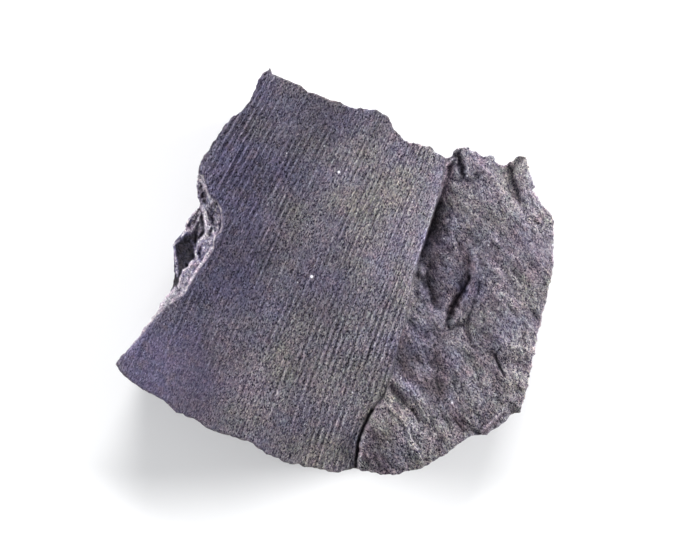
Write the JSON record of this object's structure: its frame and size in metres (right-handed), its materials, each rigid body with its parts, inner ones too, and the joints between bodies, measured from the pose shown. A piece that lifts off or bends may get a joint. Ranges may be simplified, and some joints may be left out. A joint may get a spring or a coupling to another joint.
{
  "type": "fossil horsetail imprint",
  "caption": "Flat slab of dark shale that lies on its back, with the ribbed imprint of a horsetail stem on its upper face and broken rock beside it.",
  "frame": {"origin": "middle of the slab's plan box, on the flat underside that it rests on", "axes": "+X across the slab from the imprint to the broken matrix, +Y up the stem's ribs, which lean towards +X, +Z out of the imprinted face"},
  "size_m": [0.0851, 0.0788, 0.0169],
  "materials": {
    "shale": "dull, fine-grained"
  },
  "bodies": {
    "root": {"horsetail_slab": "shale"}
  },
  "joints": []
}
